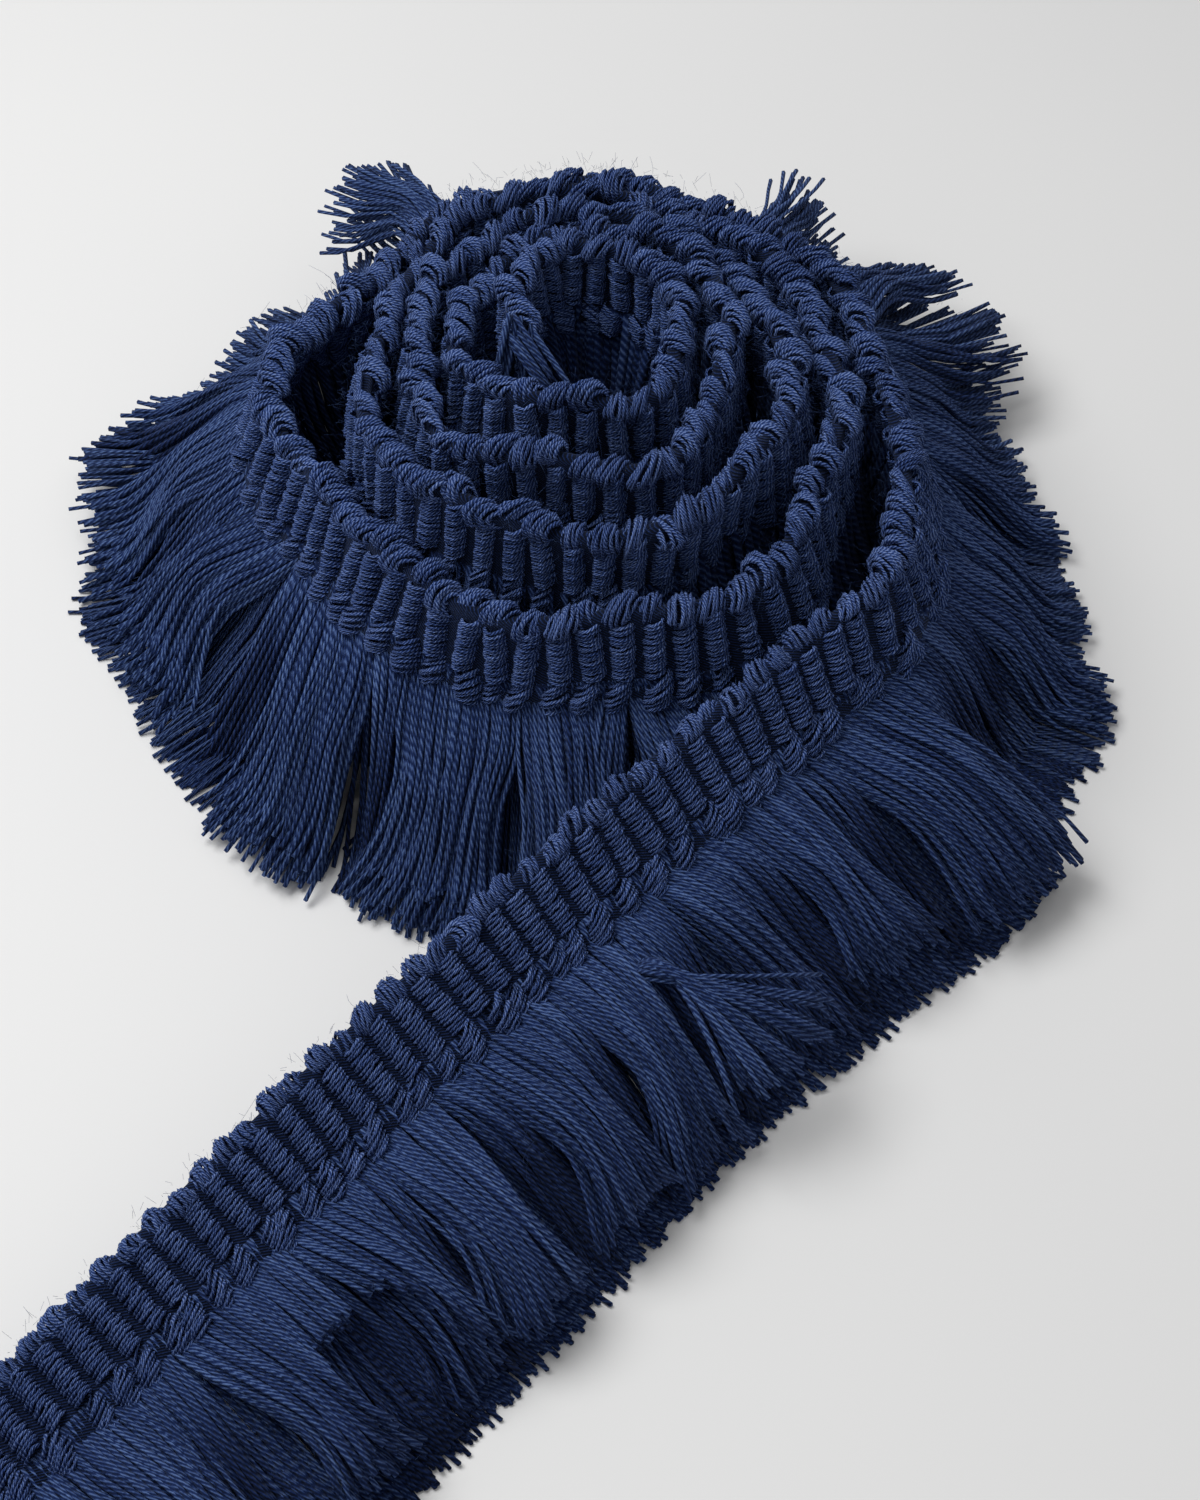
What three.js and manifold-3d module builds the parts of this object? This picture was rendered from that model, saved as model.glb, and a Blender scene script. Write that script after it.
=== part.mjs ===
// A length of brush fringe trim, loosely rolled so that it stands on its fringe, with a free tail.
// Millimetres, +Z up, the floor at z = 0, the tail running towards -Y.
import * as THREE from 'three';
import Module from 'manifold-3d';

const wasm = await Module();
wasm.setup();

// The woven heading: depths are measured down from its looped upper edge, halves from its middle
const RIB_PITCH = 3.3;
const HEADING_DEPTH = 9.5;
const LOOP_DEPTH = 2.2;
const SCALLOP_RISE = 1.3;
const EDGE_HALF = 0.55;
const RIB_HALF = 1.5;
const GROOVE_HALF = 0.95;

// The knotted strip below it, in which the fringe is rooted
const PARTING = 0.3;
const KNOT_DEPTH = 3.2;
const KNOT_HALF = 1.3;
const KNOT_GROOVE_HALF = 0.95;
const ROOT_DEPTH = 11.9;

// Where the coil's middle stands, so that the origin is under the middle of the whole part
const COIL_X = -8.823;
const COIL_Y = 50.447;

// Radius of the upper edge of each turn, a row for each direction about the coil's middle
const TURN_NAMES = ['outer', 'second', 'third', 'fourth', 'inner'];
const TURNS = [
  { deg: 0, outer: 45.5, second: 32.5, third: 26.5, fourth: 18, inner: 10.5 },
  { deg: 30, outer: 35.7, second: 28.8, third: 23.2, fourth: 16.2, inner: 10.6 },
  { deg: 60, outer: 33.6, second: 27.6, third: 20.8, fourth: 16, inner: 11.4 },
  { deg: 90, outer: 37.2, second: 30.2, third: 23.8, fourth: 18.9, inner: 14.2 },
  { deg: 120, outer: 35.2, second: 29.5, third: 24.7, fourth: 20.3, inner: 16 },
  { deg: 150, outer: 36.3, second: 30.6, third: 25.3, fourth: 20.5, inner: 15.9 },
  { deg: 180, outer: 34.6, second: 27.6, third: 22.6, fourth: 17.8, inner: 12.8 },
  { deg: 210, outer: 35, second: 25, third: 20, fourth: 15.2, inner: 8.6 },
  { deg: 240, outer: 35, second: 27.1, third: 20, fourth: 15 },
  { deg: 270, outer: 33.4, second: 28.5, third: 22.6, fourth: 14 },
  { deg: 300, outer: 37.5, second: 26.6, third: 20.2, fourth: 11.2 },
  { deg: 330, outer: 37.8, second: 30, third: 20.6, fourth: 11.4 },
];
const INNER_END = 1658;
const INNER_END_RADIUS = 7.2;

// Folds pushed into the wound strip, by the degrees wound from the corner inwards
const FOLDS = [
  { wound: 109, push: -2.2, spread: 9 },
  { wound: 133, push: 1.4, spread: 8 },
  { wound: 190, push: -2.4, spread: 9 },
  { wound: 228, push: 3.4, spread: 8 },
  { wound: 247, push: -2.4, spread: 8 },
  { wound: 346, push: 2.6, spread: 9 },
];

// Height of the upper edge and lean of the strip, its lower edge outwards, as the coil is wound inwards
const RISE = [
  { wound: 0, top: 32, lean: 22 },
  { wound: 60, top: 32, lean: 18 },
  { wound: 320, top: 33, lean: 17 },
  { wound: 400, top: 35, lean: 6 },
  { wound: 1080, top: 38, lean: 3 },
  { wound: INNER_END, top: 40, lean: 0 },
];

// The tail from the corner to its cut end, which lies flat, with the reach of its fringe
const TAIL = [
  { run: 0, side: 45.5, top: 32, lean: 22, reach: 21 },
  { run: 10, side: 43, top: 30, lean: 33, reach: 21 },
  { run: 25, side: 41.6, top: 27, lean: 45, reach: 21.5 },
  { run: 50, side: 39.8, top: 22.5, lean: 55, reach: 22.5 },
  { run: 80, side: 39.3, top: 17, lean: 62, reach: 25 },
  { run: 110, side: 39.8, top: 11.5, lean: 70, reach: 26 },
  { run: 125, side: 40.1, top: 8, lean: 76, reach: 26 },
  { run: 146, side: 40.2, top: RIB_HALF, lean: 90, reach: 25 },
  { run: 162, side: 40.2, top: RIB_HALF, lean: 90, reach: 25 },
];

// Steps of the route in degrees and millimetres, and how often its plan is evened out
const WIND_STEP = 6;
const TAIL_STEP = 3;
const SMOOTHING_PASSES = 3;

// Wound degrees up to which the fringe flares outwards, further in it hangs
const FLARE_END = 334;

// One lock of the fringe from its root to its cut end, a row for each section.
// out and drop are shares of its reach and of its root's height, wide is a share of the room it has.
const OUTER_LOCK = [
  { out: 0, drop: 0, thick: 1.6, wide: 0.62 },
  { out: 0.42, drop: 0.5, thick: 3.6, wide: 0.9 },
  { out: 0.86, drop: 1, thick: 3.4, wide: 0.9 },
  { out: 1, drop: 1, thick: 2.6, wide: 0.8 },
];
const TAIL_LOCK = [
  { out: 0, drop: 0, thick: 1.6, wide: 0.62 },
  { out: 0.3, drop: 0.08, thick: 4, wide: 0.9 },
  { out: 0.66, drop: 0.42, thick: 5.4, wide: 0.92 },
  { out: 0.88, drop: 1, thick: 5, wide: 0.9 },
  { out: 1, drop: 1, thick: 4.4, wide: 0.82 },
];
const OUTER_REACH = 21;
const REACH_UNEVEN = 1.6;
const SWING_UNEVEN = 2;
const COMB_SWING = 6;
const COMB_LENGTH = 38;

// A lock of the inner turns, which hangs straight down and stands on its cut end
const HANGING_LOCK = [
  { height: 1, thick: 1.2, wide: 1.9 },
  { height: 0.6, thick: 2.2, wide: 3.4 },
  { height: 0, thick: 2.2, wide: 3.4 },
];
const RIBS_PER_HANGING_LOCK = 4;

// Tufts that stand out above the floor, by the degrees wound from the corner inwards
const TUFTS = [
  { wound: 78, lift: 10, reach: 4, spread: 6 },
  { wound: 106, lift: 15, reach: 4, spread: 5 },
  { wound: 158, lift: 15, reach: 4, spread: 7 },
  { wound: 184, lift: 9, reach: 2, spread: 10 },
  { wound: 210, lift: 6, reach: 5, spread: 7 },
];

const SCATTER_STEP = 12.9898;
const SCATTER_SIZE = 4375.85;
const YARN_COLOUR = 0x27386b;
const FRINGE_COLOUR = 0x22325f;

// Value of a column at a place between two rows, without overshooting either
function read(rows, key, column, at) {
  const last = rows.length - 1;
  const found = rows.findIndex((row) => row[key] >= at);
  const high = Math.min(Math.max(found < 0 ? last : found, 1), last);
  const low = high - 1;
  const secant = (i) => (rows[i + 1][column] - rows[i][column]) / (rows[i + 1][key] - rows[i][key]);
  const slope = (i) => {
    if (i === 0) return secant(0);
    if (i === last) return secant(last - 1);
    const before = secant(i - 1);
    const after = secant(i);
    return before * after <= 0 ? 0 : (2 * before * after) / (before + after);
  };
  const span = rows[high][key] - rows[low][key];
  const t = THREE.MathUtils.clamp((at - rows[low][key]) / span, 0, 1);
  const rise = rows[high][column] - rows[low][column];
  const start = slope(low) * span;
  const end = slope(high) * span;
  return rows[low][column] + t * (start + t * (3 * rise - 2 * start - end + t * (start + end - 2 * rise)));
}

// A scattered value between -1 and 1, the same each time for the same count and kind
function uneven(count, kind) {
  const wave = SCATTER_SIZE * Math.sin(count * SCATTER_STEP + kind);
  return 2 * (wave - Math.floor(wave)) - 1;
}

const bump = (at, row) => Math.exp(-(((at - row.wound) / row.spread) ** 2));

// The route of the upper edge, from the inner end outwards and on along the tail
const woundRows = TURN_NAMES.flatMap((name, turn) => TURNS
  .filter((row) => row[name] !== undefined)
  .map((row) => ({ wound: 360 * turn + row.deg, radius: row[name] })));
woundRows.push({ wound: INNER_END, radius: INNER_END_RADIUS });

function woundPlace(wound) {
  const pushed = FOLDS.reduce((sum, fold) => sum + fold.push * bump(wound, fold), 0);
  const radius = read(woundRows, 'wound', 'radius', wound) + pushed;
  const angle = THREE.MathUtils.degToRad(wound);
  return {
    x: radius * Math.cos(angle),
    y: radius * Math.sin(angle),
    top: read(RISE, 'wound', 'top', wound),
    lean: read(RISE, 'wound', 'lean', wound),
    wound,
  };
}

function tailPlace(run) {
  return {
    x: read(TAIL, 'run', 'side', run),
    y: -run,
    top: read(TAIL, 'run', 'top', run),
    lean: read(TAIL, 'run', 'lean', run),
    wound: 0,
  };
}

const tailRun = TAIL[TAIL.length - 1].run;
let route = [];
for (let wound = INNER_END; wound > 0; wound -= WIND_STEP) route.push(woundPlace(wound));
for (let run = 0; run <= tailRun; run += TAIL_STEP) route.push(tailPlace(run));
for (let pass = 0; pass < SMOOTHING_PASSES; pass += 1) {
  route = route.map((place, i) => {
    if (i === 0 || i === route.length - 1) return place;
    const x = (route[i - 1].x + 2 * place.x + route[i + 1].x) / 4;
    const y = (route[i - 1].y + 2 * place.y + route[i + 1].y) / 4;
    return { ...place, x, y };
  });
}

// Stations half a rib apart along the route, each with its own directions
const lengths = [0];
for (let i = 1; i < route.length; i += 1) {
  const step = Math.hypot(route[i].x - route[i - 1].x, route[i].y - route[i - 1].y);
  lengths.push(lengths[i - 1] + step);
}
const total = lengths[lengths.length - 1];
const ribCount = Math.round(total / RIB_PITCH);
const stationCount = 2 * ribCount;

function placeAt(distance) {
  const found = lengths.findIndex((length) => length >= distance);
  const high = Math.min(Math.max(found < 0 ? route.length - 1 : found, 1), route.length - 1);
  const share = (distance - lengths[high - 1]) / (lengths[high] - lengths[high - 1]);
  const mix = (column) => THREE.MathUtils.lerp(route[high - 1][column], route[high][column], share);
  return { x: mix('x'), y: mix('y'), top: mix('top'), lean: mix('lean'), wound: mix('wound') };
}

const places = [];
for (let i = 0; i <= stationCount; i += 1) places.push(placeAt((total * i) / stationCount));
const stations = places.map((place, i) => {
  const ahead = places[Math.min(i + 1, stationCount)];
  const behind = places[Math.max(i - 1, 0)];
  const along = new THREE.Vector3(ahead.x - behind.x, ahead.y - behind.y, 0).normalize();
  const outward = new THREE.Vector3(-along.y, along.x, 0);
  const lean = THREE.MathUtils.degToRad(place.lean);
  const down = outward.clone().multiplyScalar(Math.sin(lean));
  down.z = -Math.cos(lean);
  const face = outward.clone().multiplyScalar(Math.cos(lean));
  face.z = Math.sin(lean);
  const edge = new THREE.Vector3(place.x, place.y, place.top);
  const onTail = place.wound <= 0;
  return { edge, along, outward, down, face, onTail, wound: place.wound, crest: i % 2 === 1 };
});

const cornerStation = stations.findIndex((station) => station.onTail);
const flareStation = stations.findIndex((station) => station.wound <= FLARE_END);

// A point of the strip: how far below the upper edge, and how far in front of its middle
const at = (station, depth, front) => station.edge.clone()
  .addScaledVector(station.down, depth)
  .addScaledVector(station.face, front);

// A closed skin over a row of sections with the same count of points each
function skin(sections) {
  const size = sections[0].length;
  const positions = sections.flat().flatMap((point) => [point.x, point.y, point.z]);
  const triangles = [];
  for (let i = 0; i + 1 < sections.length; i += 1) {
    for (let k = 0; k < size; k += 1) {
      const a = i * size + k;
      const b = i * size + ((k + 1) % size);
      triangles.push(a, b, a + size, b, b + size, a + size);
    }
  }
  const lastStart = (sections.length - 1) * size;
  for (let k = 1; k + 1 < size; k += 1) {
    triangles.push(0, k + 1, k);
    triangles.push(lastStart, lastStart + k, lastStart + k + 1);
  }
  return solid(positions, triangles);
}

function solid(positions, triangles) {
  const mesh = new wasm.Mesh({
    numProp: 3,
    vertProperties: new Float32Array(positions),
    triVerts: new Uint32Array(triangles),
  });
  return new wasm.Manifold(mesh);
}

function geometryOf(body) {
  const mesh = body.getMesh();
  const geometry = new THREE.BufferGeometry();
  geometry.setAttribute('position', new THREE.BufferAttribute(new Float32Array(mesh.vertProperties), 3));
  geometry.setIndex(new THREE.BufferAttribute(new Uint32Array(mesh.triVerts), 1));
  geometry.translate(COIL_X, COIL_Y, 0);
  geometry.computeVertexNormals();
  return geometry;
}

// The heading: ribs raised on both faces, but a flat back along the tail
function headingSection(station) {
  const drop = station.crest ? 0 : SCALLOP_RISE;
  const front = station.crest ? RIB_HALF : GROOVE_HALF;
  const back = station.onTail ? RIB_HALF : front;
  return [
    at(station, drop, EDGE_HALF),
    at(station, drop, -EDGE_HALF),
    at(station, LOOP_DEPTH, -back),
    at(station, HEADING_DEPTH, -back),
    at(station, HEADING_DEPTH, front),
    at(station, LOOP_DEPTH, front),
  ];
}
const heading = skin(stations.map(headingSection));

// The knotted strip below the ribs, a knot for each rib
function knotSection(station) {
  const half = station.crest ? KNOT_HALF : KNOT_GROOVE_HALF;
  const back = station.onTail ? KNOT_HALF : half;
  const start = HEADING_DEPTH + PARTING;
  const end = start + KNOT_DEPTH;
  return [
    at(station, start, half),
    at(station, start, -back),
    at(station, end, -back),
    at(station, end, half),
  ];
}

// The four corners of a lock's section
function lockSection(middle, side, up, wide, thick) {
  const corner = (across, over) => middle.clone()
    .addScaledVector(side, (across * wide) / 2)
    .addScaledVector(up, (over * thick) / 2);
  return [corner(-1, 1), corner(-1, -1), corner(1, -1), corner(1, 1)];
}

// The middle line of one flaring lock, with its root in the knotted strip
function flaringLock(station, index) {
  const form = station.onTail ? TAIL_LOCK : OUTER_LOCK;
  const tuft = (column) => TUFTS.reduce((sum, row) => sum + row[column] * bump(station.wound, row), 0);
  const lift = station.onTail ? 0 : tuft('lift');
  const longer = station.onTail ? 0 : tuft('reach');
  const run = -station.edge.y;
  const plainReach = station.onTail ? read(TAIL, 'run', 'reach', run) : OUTER_REACH;
  const reach = plainReach + longer + REACH_UNEVEN * uneven(index, 1);
  const combed = -COMB_SWING * Math.sin((2 * Math.PI * run) / COMB_LENGTH);
  const turn = station.onTail ? combed : station.wound + SWING_UNEVEN * uneven(index, 2);
  const angle = THREE.MathUtils.degToRad(turn);
  const heads = new THREE.Vector3(Math.cos(angle), Math.sin(angle), 0);
  const root = at(station, ROOT_DEPTH, 0);
  const points = form.map((row) => {
    const rest = row.thick / 2;
    const point = root.clone().addScaledVector(heads, reach * row.out);
    point.z = Math.max(THREE.MathUtils.lerp(root.z, rest + lift, row.drop), rest);
    return point;
  });
  return { form, heads, points };
}

// Room beside a lock at one of its sections, up to the nearer neighbour
function roomAt(locks, index, row) {
  const lock = locks[index];
  const side = new THREE.Vector3(-lock.heads.y, lock.heads.x, 0);
  const gaps = [index - 1, index + 1]
    .filter((next) => locks[next])
    .map((next) => Math.abs(locks[next].points[row].clone().sub(lock.points[row]).dot(side)));
  const atEnd = gaps.length === 1;
  return atEnd ? Math.min(gaps[0], RIB_PITCH) : Math.min(...gaps);
}

function flaringBody(locks, index) {
  const { form, heads, points } = locks[index];
  const side = new THREE.Vector3(-heads.y, heads.x, 0);
  const last = points.length - 1;
  const sections = points.map((point, row) => {
    const ahead = points[Math.min(row + 1, last)];
    const behind = points[Math.max(row - 1, 0)];
    const run = ahead.clone().sub(behind).normalize();
    const up = row >= last - 1 ? new THREE.Vector3(0, 0, 1) : new THREE.Vector3().crossVectors(run, side);
    return lockSection(point, side, up, form[row].wide * roomAt(locks, index, row), form[row].thick);
  });
  return skin(sections);
}

function hangingBody(station) {
  const root = at(station, ROOT_DEPTH, 0);
  const inward = station.outward.clone().negate();
  const sections = HANGING_LOCK.map((row) => {
    const middle = new THREE.Vector3(root.x, root.y, root.z * row.height);
    return lockSection(middle, station.along, inward, row.wide, row.thick);
  });
  return skin(sections);
}

// The three lengths of the knotted strip with their locks
function fringe(strip, bodies) {
  return bodies.reduce((joined, body) => joined.add(body), skin(strip.map(knotSection)));
}

const innerStrip = stations.slice(0, flareStation - 1).filter((station) => station.crest);
const outerStrip = stations.slice(flareStation, cornerStation);
const tailStrip = stations.slice(cornerStation);

const hanging = innerStrip.filter((station, i) => i % RIBS_PER_HANGING_LOCK === 0).map(hangingBody);
const flaring = (strip) => {
  const locks = strip.filter((station) => station.crest).map(flaringLock);
  return locks.map((lock, i) => flaringBody(locks, i));
};
const fringeInner = fringe(innerStrip, hanging);
const fringeOuter = fringe(outerStrip, flaring(outerStrip));
const fringeTail = fringe(tailStrip, flaring(tailStrip));

// The part
const group = new THREE.Group();
group.name = 'fringe_trim';
function addPiece(name, body, colour) {
  const material = new THREE.MeshStandardMaterial({ color: colour, roughness: 0.9, metalness: 0 });
  material.name = name === 'heading' ? 'heading_yarn' : 'fringe_yarn';
  const mesh = new THREE.Mesh(geometryOf(body), material);
  mesh.name = name;
  group.add(mesh);
}
addPiece('heading', heading, YARN_COLOUR);
addPiece('fringe_tail', fringeTail, FRINGE_COLOUR);
addPiece('fringe_outer', fringeOuter, FRINGE_COLOUR);
addPiece('fringe_inner', fringeInner, FRINGE_COLOUR);

export default group;
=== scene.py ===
import math

import bmesh
import bpy
import numpy as np
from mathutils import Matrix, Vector


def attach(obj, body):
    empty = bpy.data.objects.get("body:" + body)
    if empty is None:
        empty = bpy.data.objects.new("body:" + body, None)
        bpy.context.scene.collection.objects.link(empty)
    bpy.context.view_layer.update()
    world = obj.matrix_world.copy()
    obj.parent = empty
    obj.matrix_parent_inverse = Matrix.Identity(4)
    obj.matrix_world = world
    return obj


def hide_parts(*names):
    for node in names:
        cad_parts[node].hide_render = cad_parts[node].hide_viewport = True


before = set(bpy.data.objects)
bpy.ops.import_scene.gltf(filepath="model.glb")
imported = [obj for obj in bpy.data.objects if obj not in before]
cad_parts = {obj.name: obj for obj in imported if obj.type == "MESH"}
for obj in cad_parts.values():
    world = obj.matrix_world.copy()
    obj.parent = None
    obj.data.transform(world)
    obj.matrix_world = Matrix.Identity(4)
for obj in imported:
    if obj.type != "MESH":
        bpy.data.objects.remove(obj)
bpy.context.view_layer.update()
mm = 0.001  # everything below is worked out in millimetres and placed in metres
floorGap = 0.02  # nothing comes nearer to the floor

# camera at the photograph's angle: eye and target in millimetres
view = {
    "eye": (190.823, -154.532, 284.964),
    "target": (18.84, 23.561, 10.0),
    "lens": 52.39,
    "sensorHeight": 24.0,
    "nearest": 10.0,
}


def addObject(name, data):
    made = bpy.data.objects.new(name, data)
    bpy.context.scene.collection.objects.link(made)
    return made


def addCamera():
    data = bpy.data.cameras.new("camera")
    data.sensor_fit = "VERTICAL"
    data.sensor_height = view["sensorHeight"]
    data.lens = view["lens"]
    data.clip_start = view["nearest"] * mm
    camera = addObject("camera", data)
    eye, target = Vector(view["eye"]) * mm, Vector(view["target"]) * mm
    camera.location = eye
    camera.rotation_euler = (target - eye).to_track_quat("-Z", "Y").to_euler()
    bpy.context.scene.camera = camera


addCamera()
print("camera placed")

# soft daylight from the left, in degrees, metres and watts, and a bright room around it
light = {
    "key": {"azimuth": 212, "elevation": 62, "distance": 0.52, "size": 0.4, "watts": 2.25},
    "fill": {"azimuth": 300, "elevation": 62, "distance": 1.1, "size": 0.9, "watts": 0.6},
    "room": "#eeeeef",
    "roomStrength": 0.4,
}


def fromHex(code):
    channels = [int(code[i:i + 2], 16) / 255 for i in (1, 3, 5)]
    return (*[c / 12.92 if c <= 0.04045 else ((c + 0.055) / 1.055) ** 2.4 for c in channels], 1.0)


def addNode(tree, kind, settings, inputs):
    node = tree.nodes.new("ShaderNode" + kind)
    for name, value in settings.items():
        setattr(node, name, value)
    for socket, value in inputs.items():
        if isinstance(value, bpy.types.NodeSocket):
            tree.links.new(value, node.inputs[socket])
        else:
            node.inputs[socket].default_value = value
    return node


def mathNode(tree, operation, *values):
    return addNode(tree, "Math", {"operation": operation}, dict(enumerate(values))).outputs[0]


def addLights():
    middle = Vector(view["target"]) * mm
    for name in ("key", "fill"):
        row = light[name]
        around, up = math.radians(row["azimuth"]), math.radians(row["elevation"])
        toLight = Vector((math.cos(up) * math.cos(around), math.cos(up) * math.sin(around), math.sin(up)))
        data = bpy.data.lights.new(name, "AREA")
        data.shape = "DISK"
        data.size = row["size"]
        data.energy = row["watts"]
        lamp = addObject(name, data)
        lamp.location = middle + toLight * row["distance"]
        lamp.rotation_euler = (-toLight).to_track_quat("-Z", "Y").to_euler()
    world = bpy.data.worlds.new("room")
    world.use_nodes = True
    background = world.node_tree.nodes["Background"]
    background.inputs["Color"].default_value = fromHex(light["room"])
    background.inputs["Strength"].default_value = light["roomStrength"]
    bpy.context.scene.world = world
    bpy.context.scene.view_settings.view_transform = "Standard"


addLights()
print("lights placed")

# the strip's route, the one that its solids follow: millimetres, and degrees wound from the corner inwards
trim = {
    "ribPitch": 3.3,
    "coilMiddle": (-8.823, 50.447),
    "innerEnd": 1658,
    "innerEndRadius": 7.2,
    "flareEnd": 334,  # from here inwards the fringe hangs
    "woundStep": 6.0,  # between the points of the coil's route
    "runStep": 3.0,  # and those of the tail's
    "stepsPerRib": 10,
    "evenedOver": 1.1,
    "evenedTimes": 3,
    "rimWaves": ((0.8, 9.0), (0.6, 5.3), (0.35, 3.1)),  # height and length over 2 pi, on the coil only
    "waveLean": 8,  # degrees of lean for each millimetre of their height
    "waveFade": 12,  # points before the corner over which they die away
    "sway": 0.8,  # the same waves in and out
    "swayFade": 40,  # degrees before the corner over which these die away
    "degreeLength": 0.44,  # millimetres of strip in a degree, about
}
turnRadii = {  # direction: radius of the upper edge of each turn, outermost first
    0: (45.5, 32.5, 26.5, 18.0, 10.5),
    30: (35.7, 28.8, 23.2, 16.2, 10.6),
    60: (33.6, 27.6, 20.8, 16.0, 11.4),
    90: (37.2, 30.2, 23.8, 18.9, 14.2),
    120: (35.2, 29.5, 24.7, 20.3, 16.0),
    150: (36.3, 30.6, 25.3, 20.5, 15.9),
    180: (34.6, 27.6, 22.6, 17.8, 12.8),
    210: (35.0, 25.0, 20.0, 15.2, 8.6),
    240: (35.0, 27.1, 20.0, 15.0),
    270: (33.4, 28.5, 22.6, 14.0),
    300: (37.5, 26.6, 20.2, 11.2),
    330: (37.8, 30.0, 20.6, 11.4),
}
folds = [  # wound, how far out, over how far
    (109, -2.2, 9), (133, 1.4, 8), (190, -2.4, 9), (228, 3.4, 8), (247, -2.4, 8), (346, 2.6, 9)]
riseRows = np.array([  # wound, height of the upper edge, lean
    (0, 32, 22), (60, 32, 18), (240, 32, 18), (295, 30.3, 24), (335, 32.5, 18), (400, 35, 6), (1080, 38, 3),
    (1658, 40, 0)], float)
tailRows = np.array([  # run, side, height of the upper edge, lean, reach of the fringe
    (0, 45.5, 32, 22, 22), (6, 44, 30.8, 29, 24.5), (12, 42.8, 29.6, 35, 24.5), (25, 41.6, 27, 45, 23),
    (50, 39.8, 22.5, 55, 22.5), (80, 39.3, 17, 62, 25), (110, 39.8, 11.5, 70, 26), (125, 40.1, 8, 76, 26),
    (146, 40.2, 1.5, 90, 25), (162, 40.2, 1.5, 90, 25)], float)


def readTable(rows, column, at):  # a smooth curve through the rows that never overshoots them
    keys, values = rows[:, 0], rows[:, column]
    secants = np.diff(values) / np.diff(keys)
    product, total = secants[:-1] * secants[1:], secants[:-1] + secants[1:]
    inner = np.where(product > 0, 2 * product / np.where(total == 0, 1, total), 0)
    slopes = np.concatenate(([secants[0]], inner, [secants[-1]]))
    low = np.clip(np.searchsorted(keys, at) - 1, 0, len(keys) - 2)
    span, climb = keys[low + 1] - keys[low], values[low + 1] - values[low]
    t = np.clip((at - keys[low]) / span, 0, 1)
    start, end = slopes[low] * span, slopes[low + 1] * span
    return values[low] + t * (start + t * (3 * climb - 2 * start - end + t * (start + end - 2 * climb)))


def bumps(rows, at, column):  # rounded bumps: a row starts with its place and ends with its width
    return sum(row[column] * np.exp(-(((at - row[0]) / row[-1]) ** 2)) for row in rows)


def evenOut(values, spread):  # rounds off the corners and keeps both ends
    reach = int(4 * spread)
    kernel = np.exp(-0.5 * (np.arange(-reach, reach + 1) / spread) ** 2)
    before = 2 * values[0] - values[reach:0:-1]
    after = 2 * values[-1] - values[-2:-reach - 2:-1]
    return np.convolve(np.concatenate((before, values, after)), kernel / kernel.sum(), "valid")


def unit(vectors):
    return vectors / np.linalg.norm(vectors, axis=-1, keepdims=True)


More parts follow.
